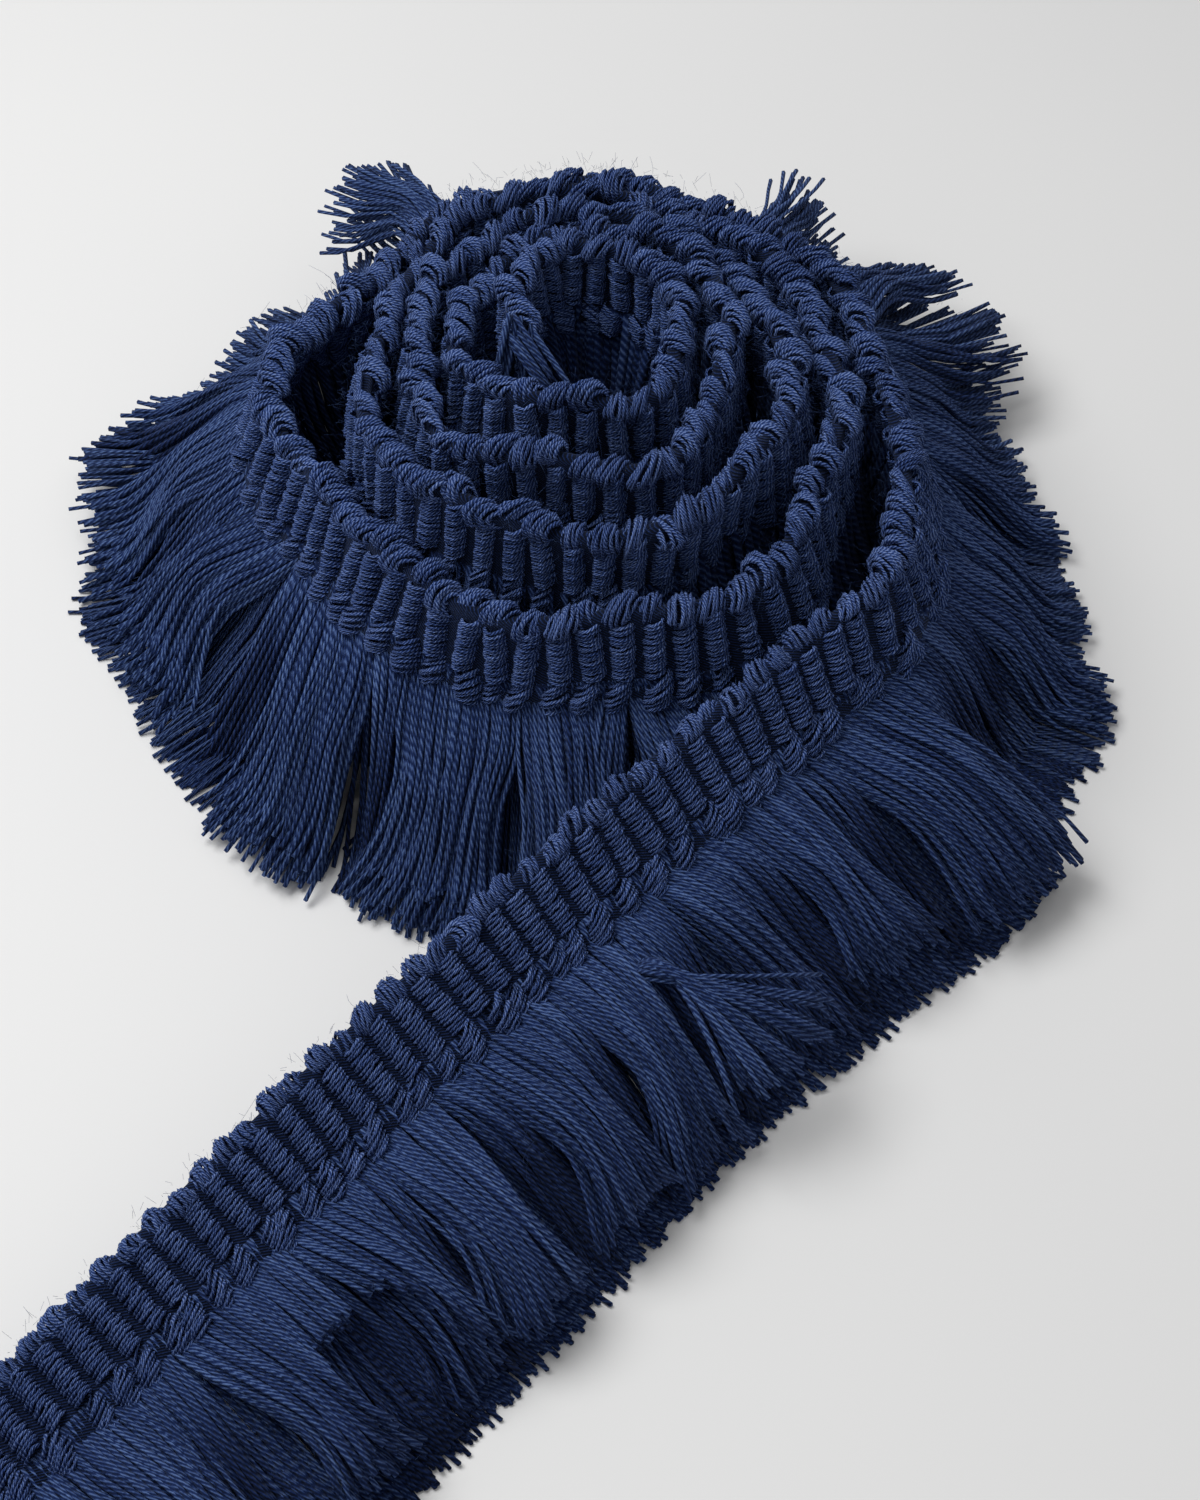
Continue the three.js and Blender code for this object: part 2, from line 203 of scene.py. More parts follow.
def layStrip():
    woundRows = [(360 * turn + deg, radii[turn]) for turn in range(5) for deg, radii in turnRadii.items()
                 if turn < len(radii)]
    woundRows = np.array(woundRows + [(trim["innerEnd"], trim["innerEndRadius"])], float)
    wound = np.arange(trim["innerEnd"], 0, -trim["woundStep"])
    radius = readTable(woundRows, 1, wound) + bumps(folds, wound, 1)
    # the last terms in the sines only set the waves apart
    radius += trim["sway"] * np.clip(wound / trim["swayFade"], 0, 1) * sum(
        high * np.sin(trim["degreeLength"] * wound / long + 5 * long) for high, long in trim["rimWaves"])
    run = np.arange(0, tailRows[-1, 0] + 1, trim["runStep"])
    x = np.concatenate((radius * np.cos(np.radians(wound)), readTable(tailRows, 1, run)))
    y = np.concatenate((radius * np.sin(np.radians(wound)), -run))
    top = np.concatenate((readTable(riseRows, 1, wound), readTable(tailRows, 2, run)))
    lean = np.concatenate((readTable(riseRows, 2, wound), readTable(tailRows, 3, run)))
    gone = np.concatenate(([0], np.cumsum(np.hypot(np.diff(x), np.diff(y)))))
    loose = np.clip((len(wound) - np.arange(len(x))) / trim["waveFade"], 0, 1)
    top += loose * sum(high * np.sin(gone / long + 2 * high / long) for high, long in trim["rimWaves"])
    lean += loose * trim["waveLean"] * sum(
        high * np.cos(gone / long * 0.8 + high) for high, long in trim["rimWaves"])
    for _ in range(trim["evenedTimes"]):
        x[1:-1] = (x[:-2] + 2 * x[1:-1] + x[2:]) / 4
        y[1:-1] = (y[:-2] + 2 * y[1:-1] + y[2:]) / 4
    lengths = np.concatenate(([0], np.cumsum(np.hypot(np.diff(x), np.diff(y)))))
    ribs = round(lengths[-1] / trim["ribPitch"])
    distance = np.linspace(0, lengths[-1], ribs * trim["stepsPerRib"] + 1)
    allWound = np.concatenate((wound, np.zeros(len(run))))
    allRun = np.concatenate((np.zeros(len(wound)), run))
    spread = trim["evenedOver"] / (distance[1] - distance[0])
    place = [evenOut(np.interp(distance, lengths, column), spread) for column in (x, y, top, lean)]
    along = unit(np.stack((np.gradient(place[0]), np.gradient(place[1]), np.zeros(len(distance))), axis=1))
    outward = np.stack((-along[:, 1], along[:, 0], along[:, 2]), axis=1)
    tilt = np.radians(place[3])[:, None]
    up = np.array((0.0, 0.0, 1.0))
    middle = np.array(trim["coilMiddle"])
    return {
        "distance": distance,
        "ribs": ribs,
        "pitch": lengths[-1] / ribs,
        "length": lengths[-1],
        "edge": np.stack((place[0] + middle[0], place[1] + middle[1], place[2]), axis=1),
        "along": along,
        "outward": outward,
        "down": outward * np.sin(tilt) - up * np.cos(tilt),
        "face": outward * np.cos(tilt) + up * np.sin(tilt),
        "wound": np.interp(distance, lengths, allWound)[:, None],
        "run": np.interp(distance, lengths, allRun)[:, None],
        "flare": np.interp(-trim["flareEnd"], -wound, lengths[:len(wound)]),
        "corner": lengths[len(wound)],
    }


strip = layStrip()
print("strip laid:", strip["ribs"], "ribs,", round(strip["length"]), "mm")


def stationAt(distance):  # the strip's places and directions at any distances along it
    step = strip["distance"][1]
    low = np.clip((distance / step).astype(int), 0, len(strip["distance"]) - 2)
    share = (distance / step - low)[:, None]
    names = ("edge", "along", "outward", "down", "face", "wound", "run")
    return {name: strip[name][low] * (1 - share) + strip[name][low + 1] * share for name in names}


def pointAt(station, depth, front):  # down from the upper edge, and out to the front of the strip's middle
    depth, front = np.asarray(depth, float), np.asarray(front, float)
    return station["edge"] + station["down"] * depth[..., None] + station["face"] * front[..., None]


# materials: colours of the yarn's hollows (painted shade), sides and crowns (partly painted highlight), its
# twist and grain in millimetres, and how far the fibres, the plies and the thread's own tone count in its
# colour
yarn = {
    "wrap": {
        "dark": "#040918",
        "mid": "#29427e",
        "pale": "#8299cc",
        "turnLength": 1.5,
        "plies": 3,
        "grain": 0.2,
        "fuzz": 1.4,
        "relief": 1.4,
    },
    "strand": {
        "dark": "#050a1c",
        "mid": "#192b58",
        "pale": "#5c75a6",
        "turnLength": 3.3,
        "plies": 3,
        "grain": 0.3,
        "fuzz": 1.0,
        "relief": 0.9,
    },
    "tone": 0.6,
    "bump": 0.12,
    "sheen": "#8ea3d6",
}


def plyYarnMaterial(name, row):
    # matt spun cotton: painted shade in the hollows between the plies and a painted highlight on their
    # crowns, over the plies' own bumps, so each thread reads as a row of slanting dashes, with a bloom of
    # loose fibre at its edges
    material = bpy.data.materials.new(name)
    material.use_nodes = True
    tree = material.node_tree
    tree.nodes.clear()
    uv = addNode(tree, "UVMap", {"uv_map": "yarn"}, {})
    parts = addNode(tree, "SeparateXYZ", {}, {0: uv.outputs[0]})
    turned = mathNode(tree, "DIVIDE", parts.outputs["Y"], row["turnLength"])
    plies = mathNode(tree, "ADD", parts.outputs["X"], turned)
    phase = mathNode(tree, "MULTIPLY", plies, row["plies"] * math.pi)
    wave = mathNode(tree, "SINE", phase)
    # painted shade and highlight: the ply crowns are coloured lighter and the hollows between them darker
    crown = mathNode(tree, "MULTIPLY", wave, wave)
    place = addNode(tree, "TexCoord", {}, {})
    # fibre grain, drawn coarser than the real fibre so that it shows
    grain = addNode(tree, "TexNoise", {}, {
        "Vector": place.outputs["Object"], "Scale": 1 / (row["grain"] * mm), "Detail": 3.0})
    tone = addNode(tree, "Attribute", {"attribute_name": "tone"}, {})
    bloom = mathNode(tree, "MULTIPLY", grain.outputs["Fac"], row["fuzz"])
    rough = mathNode(tree, "MULTIPLY_ADD", crown, row["relief"], bloom)
    toned = mathNode(tree, "MULTIPLY_ADD", tone.outputs["Fac"], yarn["tone"], rough)
    shade = mathNode(tree, "DIVIDE", toned, yarn["tone"] + row["relief"] + row["fuzz"])
    ramp = addNode(tree, "ValToRGB", {}, {0: shade})
    ramp.color_ramp.elements[0].position = 0.15
    ramp.color_ramp.elements[0].color = fromHex(row["dark"])
    ramp.color_ramp.elements[1].position = 0.85
    ramp.color_ramp.elements[1].color = fromHex(row["pale"])
    ramp.color_ramp.elements.new(0.5).color = fromHex(row["mid"])
    bump = addNode(tree, "Bump", {}, {
        "Strength": 0.7, "Distance": yarn["bump"] * mm, "Height": rough})
    shader = addNode(tree, "BsdfPrincipled", {}, {
        "Base Color": ramp.outputs[0],
        "Roughness": 0.95,
        "Normal": bump.outputs[0],
        "Specular IOR Level": 0.08,
        "Sheen Weight": 0.14,
        "Sheen Roughness": 0.6,
        "Sheen Tint": fromHex(yarn["sheen"]),
    })
    addNode(tree, "OutputMaterial", {}, {0: shader.outputs[0]})
    return material


wrapYarn = plyYarnMaterial("spunCottonWrapYarn", yarn["wrap"])
strandYarn = plyYarnMaterial("twistedCottonStrand", yarn["strand"])


def placePiece(mesh, material, nodes):
    mesh.materials.append(material)
    piece = addObject(mesh.name, mesh)
    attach(piece, "root")
    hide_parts(*nodes)
    return piece


def yarnTubes(lines, radii, across, sides, tone, closed=False):
    # a tube along each line, or round it as a closed ring
    count, rings = lines.shape[:2]
    ahead = np.roll(lines, -1, axis=1) - np.roll(lines, 1, axis=1) if closed else np.gradient(lines, axis=1)
    along = unit(ahead)
    side = unit(across[:, None, :] - along * (along * across[:, None, :]).sum(axis=2, keepdims=True))
    over = np.cross(along, side)
    turn = np.arange(sides) * 2 * np.pi / sides - (np.pi / 2 if closed else 0)  # a ring's ridge is outermost
    around = side[:, :, None, :] * np.cos(turn)[:, None] + over[:, :, None, :] * np.sin(turn)[:, None]
    radii = np.broadcast_to(radii, (count, rings))
    points = lines[:, :, None, :] + radii[:, :, None, None] * around
    index = np.arange(count * rings * sides).reshape(count, rings, sides)
    path = lines
    if closed:
        index = np.concatenate((index, index[:, :1]), axis=1)
        path = np.concatenate((lines, lines[:, :1]), axis=1)
    following = np.roll(index, -1, axis=2)
    corners = np.stack((index[:, :-1], following[:, :-1], following[:, 1:], index[:, 1:]), axis=3).reshape(-1)
    starts = np.arange(0, len(corners), 4)
    steps = np.linalg.norm(np.diff(path, axis=1), axis=2)
    gone = np.concatenate((np.zeros((count, 1)), np.cumsum(steps, axis=1)), axis=1)
    u = np.broadcast_to(np.arange(sides) / sides, (count, gone.shape[1] - 1, sides))
    low = np.broadcast_to(gone[:, :-1, None], u.shape)
    high = np.broadcast_to(gone[:, 1:, None], u.shape)
    uv = np.stack((u, low, u + 1 / sides, low, u + 1 / sides, high, u, high), axis=3).reshape(-1, 2)
    if not closed:
        caps = np.concatenate((index[:, 0, ::-1].ravel(), index[:, -1].ravel()))
        ends = np.concatenate((np.repeat(gone[:, 0], sides), np.repeat(gone[:, -1], sides)))
        starts = np.concatenate((starts, len(corners) + np.arange(0, len(caps), sides)))
        corners = np.concatenate((corners, caps))
        uv = np.concatenate((uv, np.stack((np.zeros(len(caps)), ends), axis=1)))
    return {"points": points.reshape(-1, 3), "corners": corners, "starts": starts, "uv": uv,
            "tone": np.repeat(np.broadcast_to(tone.reshape(count, -1), (count, rings)).ravel(), sides)}


def joinTubes(name, groups):  # one mesh of many small closed shapes, none of it below the floor
    sizes = np.array([(len(group["points"]), len(group["corners"])) for group in groups])
    shifts = np.cumsum(sizes, axis=0) - sizes
    points = np.concatenate([group["points"] for group in groups])
    points[:, 2] = np.maximum(points[:, 2], floorGap)
    corners = np.concatenate([group["corners"] + shift[0] for group, shift in zip(groups, shifts)])
    starts = np.concatenate([group["starts"] + shift[1] for group, shift in zip(groups, shifts)])
    uv = np.concatenate([group["uv"] for group in groups])
    tone = np.concatenate([group["tone"] for group in groups])
    mesh = bpy.data.meshes.new(name)
    mesh.vertices.add(len(points))
    mesh.vertices.foreach_set("co", (points * mm).astype(np.float32).ravel())
    mesh.loops.add(len(corners))
    mesh.loops.foreach_set("vertex_index", corners.astype(np.int32))
    mesh.polygons.add(len(starts))
    mesh.polygons.foreach_set("loop_start", starts.astype(np.int32))
    mesh.update(calc_edges=True)
    mesh.uv_layers.new(name="yarn").data.foreach_set("uv", uv.astype(np.float32).ravel())
    mesh.attributes.new("tone", "FLOAT", "POINT").data.foreach_set("value", tone.astype(np.float32))
    mesh.shade_smooth()
    return mesh


trimPieces = []


def addTrim(name, groups, material, node):
    trimPieces.append(placePiece(joinTubes(name, groups), material, [node]))


# the woven ground inside the heading: depth from the upper edge and half the thickness
ground = {
    "rows": (
        (1.0, 0.3), (1.3, 0.75), (2.3, 0.85), (3.2, 0.5),
        (6.0, 0.35), (9.0, 0.5), (11.6, 0.7), (12.3, 0.4)),
    "stepsPerRib": 2,
    "tone": -1.9,  # painted shade: it lies deep between the ribs and takes little light, so its tone is set dark
}


def weaveGround():
    every = trim["stepsPerRib"] // ground["stepsPerRib"]
    station = {name: strip[name][::every, None, :] for name in ("edge", "down", "face")}
    distance = strip["distance"][::every]
    depths, halves = np.array(ground["rows"]).T
    ring = np.concatenate((depths, depths[::-1]))
    half = np.concatenate((halves, -halves[::-1]))
    rows, count = len(distance), len(ring)
    points = pointAt(station, ring, half) * mm

    shape = bmesh.new()
    uvLayer = shape.loops.layers.uv.new("yarn")
    bmesh.ops.create_grid(shape, x_segments=count, y_segments=rows - 1, size=0.5)
    toneLayer = shape.verts.layers.float.new("tone")
    spot = {}
    for vert in shape.verts:
        vert[toneLayer] = ground["tone"]
        i = round((vert.co.x + 0.5) * count)
        j = round((vert.co.y + 0.5) * (rows - 1))
        spot[vert] = (ring[i % count], distance[j])
        vert.co = points[j, i % count]
    for face in shape.faces:
        for loop in face.loops:
            loop[uvLayer].uv = spot[loop.vert]
    bmesh.ops.remove_doubles(shape, verts=shape.verts, dist=1e-7)
    rims = [edge for edge in shape.edges if edge.is_boundary]
    bmesh.ops.holes_fill(shape, edges=rims, sides=0)
    bmesh.ops.recalc_face_normals(shape, faces=shape.faces)
    mesh = bpy.data.meshes.new("woven_ground")
    shape.to_mesh(mesh)
    shape.free()
    mesh.shade_smooth()
    return placePiece(mesh, wrapYarn, ["heading"])


wovenGround = weaveGround()
spans = {
    "tail": (strip["corner"], strip["length"]),
    "outer": (strip["flare"], strip["corner"]),
    "inner": (0.0, strip["flare"]),
}
print("ground woven:", {name: [round(end) for end in span] for name, span in spans.items()})

# yarn wrapped round each rib, and round each bunch of strands under it: depths, half sizes along and through
# the strip, radius of the yarn, slant at either end of the stack, how full its middle is, and spreads
ribWraps = {
    "from": 2.35,
    "to": 9.0,
    "wraps": 16,
    "along": 1.16,
    "through": 1.62,
    "yarn": 0.25,
    "slant": (0.24, 0.24),
    "waist": 1.05,
    "uneven": 0.07,
    "lean": 0.06,
}
knotWraps = {
    "from": 9.3,
    "to": 12.9,
    "wraps": 9,
    "along": 1.15,
    "through": 1.3,
    "yarn": 0.25,
    "slant": (0.75, 0.35),
    "waist": 1.35,
    "uneven": 0.26,
    "lean": 0.16,
}
# loops over the upper edge: a few threads side by side for each rib, fullest in the middle
edgeLoops = {
    "depth": 1.6,
    "sink": 0.5,  # how much deeper the outer threads lie
    "threads": 8,
    "spacing": 0.385,
    "bun": 0.56,
    "deep": 1.75,
    "through": 2.0,
    "yarn": 0.26,
    "yaw": 24,
    "uneven": 0.2,
    "zigzag": 0.3,  # they lean turn about to the front and the back
    "drawn": 0.8,  # the tail's are drawn down tighter
    "closer": -0.35,  # as in ringCorners, here towards the top
}
ringCorners = {  # of ribs and loops, of knots, and how far they are moved to the side that shows
    "tail": (10, 9, 0.4),
    "outer": (10, 9, 0.4),
    "inner": (7, 5, 0.0),
}
scatter = {  # spreads from rib to rib, and from thread to thread where there are two
    "place": 0.06,  # of each point of a thread
    "thickness": 0.16,
    "tone": (0.5, 0.25),  # its middle and spread
    "wrapDepth": 0.12,
    "wrapSize": (0.06, 0.03),
    "wrapSlant": (0.06, 0.05),
    "loopSpacing": 0.06,
    "loopYaw": (16, 5),
    "loopLean": (0.22, 0.06),
    "loopDepth": 0.42,
    "loopFront": (0.4, 0.06),
    "loopSize": (0.1, 0.05),
}
ribMiddle = 6.0  # the depth about which ribs and knots lean
threadGap = 0.05  # no thread comes nearer to the cut ends


def ribsBetween(start, end):
    return np.arange(math.ceil(start / strip["pitch"] - 0.5), math.ceil(end / strip["pitch"] - 0.5))


def ringLines(middle, first, second, corners, closer, rng):
    turn = np.arange(corners) * 2 * np.pi / corners
    turn = turn + closer * np.cos(turn)
    return (middle[:, None, :] + first[:, None, :] * np.cos(turn)[None, :, None]
            + second[:, None, :] * np.sin(turn)[None, :, None]
            + rng.normal(0, scatter["place"], (len(middle), corners, 3)))


def ringTubes(row, lines, across, rng):
    radii = row["yarn"] * (1 + rng.normal(0, scatter["thickness"], lines.shape[:2]))
    tone = np.clip(rng.normal(*scatter["tone"], len(lines)), 0, 1)
    return yarnTubes(lines, radii, across, 3, tone, closed=True)


def unevenBy(rng, amount, each):
    # makes a function that gives each thread its rib's offset and, from a second spread, one of its own
    def offsets(perRib, perThread=None):
        values = np.repeat(rng.normal(0, perRib, amount), each)
        if perThread is not None:
            values = values + rng.normal(0, perThread, amount * each)
        return values
    return offsets


def wrapRibs(row, ribs, corners, closer, rng):
    amount, each = len(ribs), row["wraps"]
    vary = unevenBy(rng, amount, each)
    step = np.tile((np.arange(each) + 0.5) / each, amount)
    depth = row["from"] + (row["to"] - row["from"]) * step
    depth = depth + rng.normal(0, row["uneven"] / 2, amount * each) + vary(scatter["wrapDepth"])
    distance = np.repeat((ribs + 0.5) * strip["pitch"], each) + vary(row["uneven"])
    distance = distance + vary(row["lean"]) * (depth - ribMiddle)
    station = stationAt(np.clip(distance, threadGap, strip["length"] - threadGap))
    middle = pointAt(station, depth, vary(row["uneven"], row["uneven"] / 2))
    bulge = 1 + (row["waist"] - 1) * np.sin(np.pi * step)
    wide = row["along"] * bulge * (1 + vary(*scatter["wrapSize"]))
    thick = row["through"] * bulge * (1 + vary(*scatter["wrapSize"]))
    slant = row["slant"][0] + (row["slant"][1] - row["slant"][0]) * step + vary(*scatter["wrapSlant"])
    first = (station["along"] + station["down"] * slant[:, None]) * wide[:, None]
    lines = ringLines(middle, first, station["face"] * thick[:, None], corners, closer, rng)
    return ringTubes(row, lines, station["down"], rng)


def loopEdge(row, ribs, corners, drawn, rng):
    amount, each = len(ribs), row["threads"]
    vary = unevenBy(rng, amount, each)
    place = np.tile(np.arange(each) - (each - 1) / 2, amount) * row["spacing"]
    distance = np.repeat((ribs + 0.5) * strip["pitch"], each) + place * (1 + vary(scatter["loopSpacing"]))
    distance = distance + vary(row["uneven"])
    station = stationAt(np.clip(distance, threadGap, strip["length"] - threadGap))
    yaw = np.radians(row["yaw"] + vary(*scatter["loopYaw"]))[:, None]
    through = station["face"] * np.cos(yaw) + station["along"] * np.sin(yaw)
    deep = station["down"] + station["along"] * vary(*scatter["loopLean"])[:, None]
    bun = np.sqrt(1 - (place / (each * row["spacing"] * row["bun"])) ** 2)
    side = np.repeat(np.where(ribs % 2, 1, -1), each) * row["zigzag"] * drawn ** 4
    depth = row["depth"] + vary(scatter["loopDepth"] * drawn ** 3) + (1 - bun) * row["sink"]
    perRib, perThread = scatter["loopFront"]
    middle = pointAt(station, depth, side + vary(perRib * drawn ** 3, perThread))
    perRib, perThread = scatter["loopSize"]
    first = through * (row["through"] * drawn * bun * (1 + vary(perRib * drawn, perThread)))[:, None]
    second = deep * (row["deep"] * drawn * bun * (1 + vary(perRib * drawn, perThread)))[:, None]
    lines = ringLines(middle, first, second, corners, row["closer"], rng)
    return ringTubes(row, lines, unit(np.cross(second, first)), rng)


for i, (name, span) in enumerate(spans.items()):
    ribs = ribsBetween(*span)
    corners, knotCorners, closer = ringCorners[name]
    drawn = edgeLoops["drawn"] if name == "tail" else 1.0
    rng = np.random.default_rng(21 + i)
    for kind, threads, slot, node in (
            ("ribs_", wrapRibs(ribWraps, ribs, corners, closer, rng), "heading_yarn", "heading"),
            ("edge_loops_", loopEdge(edgeLoops, ribs, corners, drawn, rng), "heading_yarn", "heading"),
            ("knots_", wrapRibs(knotWraps, ribs, knotCorners, closer, rng), "fringe_yarn", "fringe_" + name)):
        addTrim(kind + name, [threads], wrapYarn, node)
print("ribs, edge loops and knots wrapped")

# the cut fringe: strands in layers, gathered in locks. A form's rows: share of length, out, drop, thickness
fringe = {
    "radius": 0.265,
    "cutEnd": 1.12,  # how much thicker the cut ends are
    "outerReach": 21.0,
    "startDepth": 9.3,  # inside the knots
    "startSpread": 0.5,
    "rootDepth": 11.9,  # where they come out of them
    "endGap": 0.3,  # from the ends of a stretch
    "arch": (25, 60),  # past the corner, where the tail's locks are still straight and where they are arched
    "straightFall": 1.1,
    "shorter": (0, 30),  # past the corner, between which the tail's topmost strands get shorter
    "waist": (0.12, 0.52),  # shares of length between which the locks draw in and rise
    "spread": (0.5, 1.0),  # and between which they draw in or fan out towards their ends
    "tucked": 0.18,  # painted shade: how much darker for each millimetre that a lock lies lower, for the shade in the valleys
    "strayCurve": 1.5,  # powers of the curves by which single ends stray and a lock's sides lie lower
    "roundCurve": 3,
    "roundRate": 2.2,  # how soon along its length they do
    "sweep": np.array([  # millimetres past the corner, degrees that the strands turn towards the coil
        (-50, 0), (-20, 8), (-10, 15), (0, 18), (4, 16), (8, 13), (15, 9), (25, 5), (40, 2), (50, 0),
        (162, 0)], float),
    "outer": np.array([(0, 0, 0, 1.6), (0.445, 0.42, 0.5, 3.6), (0.9, 0.86, 1, 3.4), (1, 1, 1, 2.6)]),
    "tail": np.array([
        (0, 0, 0, 1.6), (0.2, 0.25, 0.02, 3.6), (0.4, 0.5, 0.16, 5.0), (0.6, 0.7, 0.44, 5.4),
        (0.8, 0.85, 0.82, 5.2), (0.92, 0.94, 0.98, 4.8), (1, 1, 1, 4.4)]),
    "outerUnder": np.array([(0, 0, 0, 1.6), (0.4, 0.4, 0.6, 2.6), (0.85, 0.84, 1, 2.6), (1, 1, 1, 2.2)]),
    "tailUnder": np.array([  # what hangs lower, in the shade of the locks
        (0, 0, 0, 1.4), (0.25, 0.28, 0.3, 2.4), (0.5, 0.58, 0.68, 2.8), (0.78, 0.86, 1, 3), (1, 1, 1, 2.8)]),
}
# locks lie turn about tucked between others, or high and fanned out
strandRows = {
    "tail": {
        "perRib": 6.2,  # strands in a layer
        "layers": 7,
        "cut": 0.22,  # how much shorter the topmost are, for going the longer way round
        "cutStart": 0.25,  # the share of that beside the coil
        "widths": ((4, 6), (9, 11)),  # along the strip
        "waist": ((0.0, 0.1), (0.15, 0.35)),  # how far locks draw in half way
        "ends": ((0.2, 0.5), (-0.3, 0.1)),  # and at their ends, out where below zero
        "lift": ((-4.0, -2.5), (0.5, 1.5)),
        "swing": 5.0,  # spreads of the locks' turn in degrees, of their bend and of their reach
        "bend": 0.8,
        "reach": 0.9,
        "drift": 1.2,  # how far single ends stray
        "round": 1.8,  # how far a lock's sides lie lower
        "crest": 0.8,  # and how far it swells half way
        "hemShade": 0.32,  # painted shade: how much darker towards the hem, where the strands lie in each other's shade
    },
    "outer": {
        "perRib": 8.4,
        "layers": 5,
        "cut": 0.07,
        "cutStart": 1.0,
        "widths": ((2, 4.5), (5, 11)),
        "waist": ((0.0, 0.2), (0.2, 0.4)),
        "ends": ((0.2, 0.5), (-0.1, 0.4)),
        "lift": ((-4.5, -2.5), (0.0, 1.6)),
        "swing": 9.0,
        "bend": 1.5,
        "reach": 1.4,
        "drift": 1.5,
        "round": 1.8,
        "crest": 0.9,
        "hemShade": 0.0,
    },
}
layerPairs = (  # topmost first: rings and sides of the strands, how far the locks show, how far ends stray
    (11, 5, 1, 1), (8, 4, 1, 1), (4, 3, 0.25, 0.55), (4, 3, 0.1, 0.46))
strandScatter = {  # spreads from strand to strand
    "place": 0.45,  # of the space between two
    "level": (0.05, 0.95),  # of a layer's thickness
    "firstLock": (0, 5),  # how far before its stretch it starts
    "mingled": 0.35,  # across the edges of locks
    "lockSwing": 2,  # degrees
    "swing": 1.2,
    "reach": 0.7,
    "reachEnds": (-1.6, 1.0),
    "cut": 0.01,
    "waves": (0.5, 1.5),  # in a strand's length
    "waveHeights": (0.4, 0.2),  # sideways and upwards
    "driftEnds": (-1.8, 1.8),
    "radius": 0.07,
    "tone": (0.55, 0.22),
    "toneEnds": (-0.6, 1),
}
givenLocks = {  # those given: millimetres past the corner, drawn in at the waist and ends, rise, turn
    "fringe_of_tail": np.array([
        (-6, 0.1, 0.2, -7, 4), (3.5, 0.15, 0.05, 2.2, 0), (16.5, 0, 0.3, -5, 0), (21, 0.3, -0.2, 1, 2),
        (29.5, 0, 0.3, -4, 6), (35, 0.2, -0.1, -1.6, 8), (42, 0, 0.3, -4.2, -4), (49, 0.3, -0.2, 0.6, -6),
        (58, 0, 0.3, -4, 0), (62, 0.3, -0.3, 1.5, 2), (71, 0, 0.2, -4.5, 0), (75, 0.35, -0.3, 1.2, -6),
        (84, 0, 0.2, -4.5, 0), (89, 0.3, -0.2, 0.6, 3), (97, 0, 0.1, 0.6, 0), (103, 0.3, -0.3, 1.5, 8),
        (112, 0, 0.3, -4, 0), (117, 0.3, -0.2, 1.2, -3), (127, 0, 0.3, -3, 0), (132, 0.3, -0.2, 1, 3),
        (142, 0, 0.3, -2.5, 0), (147, 0.2, -0.1, 0.8, 0), (158, 0, 0.2, -2, 0), (163, 0, 0, 0, 0)]),
    "fringe_of_coil_front": np.array([  # two of them meet at a notch in the hem
        (-192, 0.25, 0.1, 0.8, -4), (-180, 0, 0.3, -5, 2), (-176, 0.25, 0.25, 1.2, 2), (-165, 0, 0.3, -4, 0),
        (-161, 0.2, -0.1, 1, -5), (-150, 0, 0.3, -3.5, 0), (-146, 0.3, 0.2, 0.8, 6), (-136, 0, 0.3, -3.5, 0),
        (-132, 0.3, 0, 1.2, -6), (-121, 0, 0.3, -3.5, 4), (-117, 0.2, 0, 0.8, 4), (-104, 0, 0, 0, 0)]),
    "fringe_of_coil_back": np.array([  # up to the corner
        (-44, 0.25, 0.0, 1.0, 0), (-32, 0, 0.3, -3.5, 0), (-27, 0.2, 0.2, 0.8, 6), (-17.5, 0.15, 0.1, 1.2, 4),
        (-8, 0, 0.1, -6, 2), (0.5, 0, 0, 0, 0)]),
}
lockGap = 2  # between the last of the random locks and the first of these
partings = [(-179, 6, 22, 15)]  # millimetres past the corner, degrees turned before and after, over how far
notches = [  # millimetres past the corner, reach, over how far
    (-178, -5, 2.5), (-60, -2.6, 2), (-49, -2.4, 1.8), (-38, -2.8, 2), (-29, -2, 1.6), (-18, -6, 2.4),
    (-11, 2, 5), (1.5, -6, 2.4)]
tufts = [  # wound, rise, reach, over how far
    (78, 10, 4, 6), (91, 7, 2, 9), (106, 15, 4, 5), (158, 15, 4, 7), (184, 9, 2, 10), (210, 6, 5, 7),
    (4, -5, -1.5, 6)]
crease = {  # where the topmost layers are folded under, and what lies below them is sunk and darkened with painted shade
    "rows": [(98.5, 1.7, 4.8)],  # millimetres past the corner, how fully, over how far
    "cut": 0.55,
    "sunk": 3.5,
    # painted shade on the sunk layers below the fold
    "dark": 0.7,
}


def smooth(value, ends):  # from 0 at the first end to 1 at the second, without corners
    share = np.clip((value - ends[0]) / (ends[1] - ends[0]), 0, 1)
    return share ** 2 * (3 - 2 * share)


